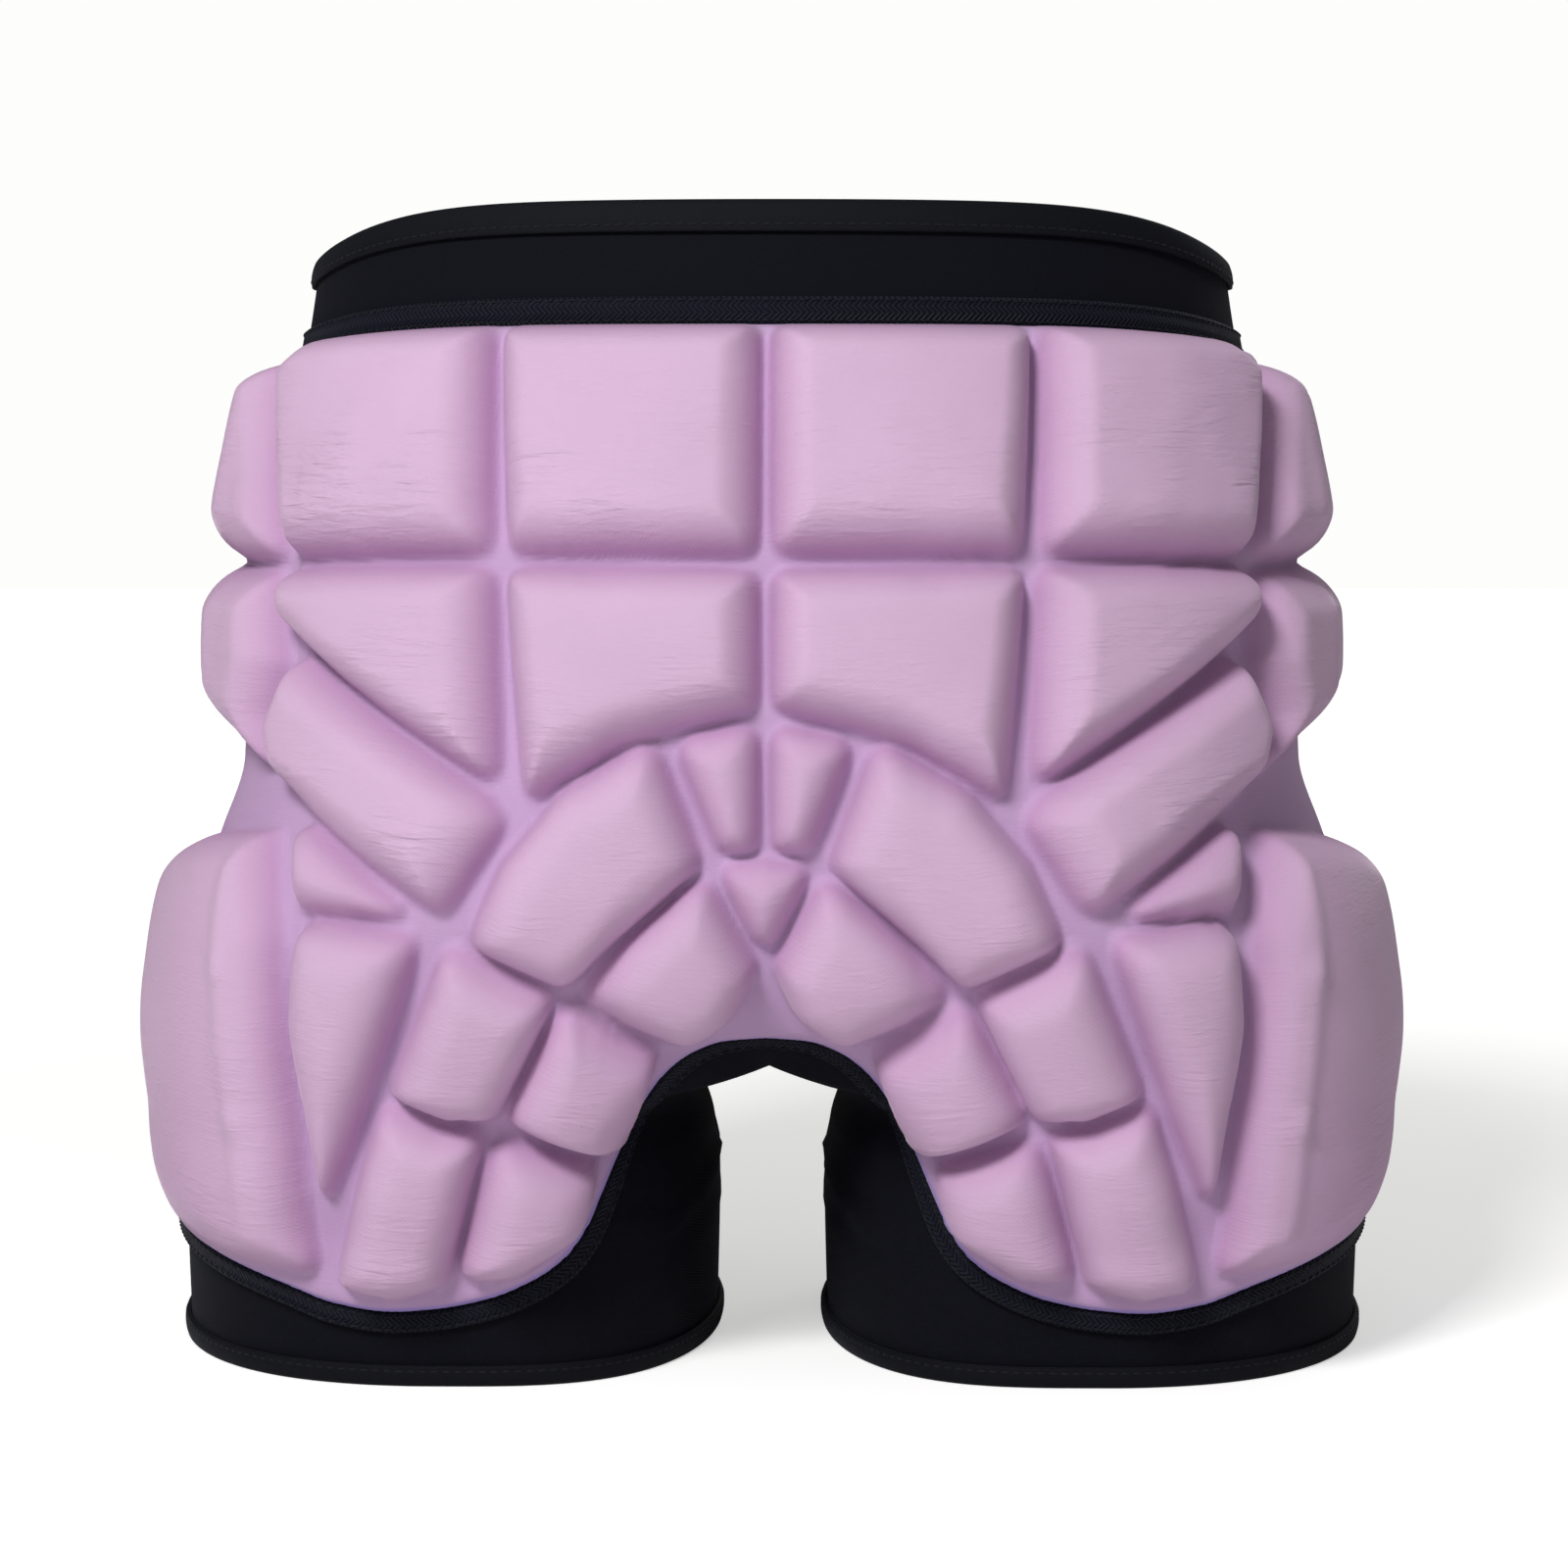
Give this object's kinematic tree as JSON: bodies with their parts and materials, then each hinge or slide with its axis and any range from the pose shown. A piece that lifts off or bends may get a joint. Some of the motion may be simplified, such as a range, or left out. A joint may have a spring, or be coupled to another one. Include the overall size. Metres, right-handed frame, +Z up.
{
  "type": "tailbone_protector",
  "caption": "Black stretch shorts with a moulded lilac foam shell of raised blocks over the tailbone, hips and outer thighs.",
  "frame": {"origin": "centre of the bounding box on the floor plane, under the hems", "axes": "+X to the wearer's right hand side as the back is seen from -Y, -Y the wearer's back with the shell, +Z up"},
  "size_m": [0.3822, 0.2522, 0.336],
  "materials": {
    "stretch_fabric": "matte black stretch knit",
    "shell_foam": "matte lilac knit laminated to moulded foam",
    "binding": "black folded edge binding",
    "twill_tape": "black herringbone tape with a slight sheen"
  },
  "bodies": {
    "root": {"shorts_fabric": "stretch_fabric", "pad_shell": "shell_foam", "waist_binding": "binding", "waist_tape": "twill_tape", "shell_edge_tape": "twill_tape", "hem_binding_left": "binding", "hem_binding_right": "binding"}
  },
  "joints": []
}
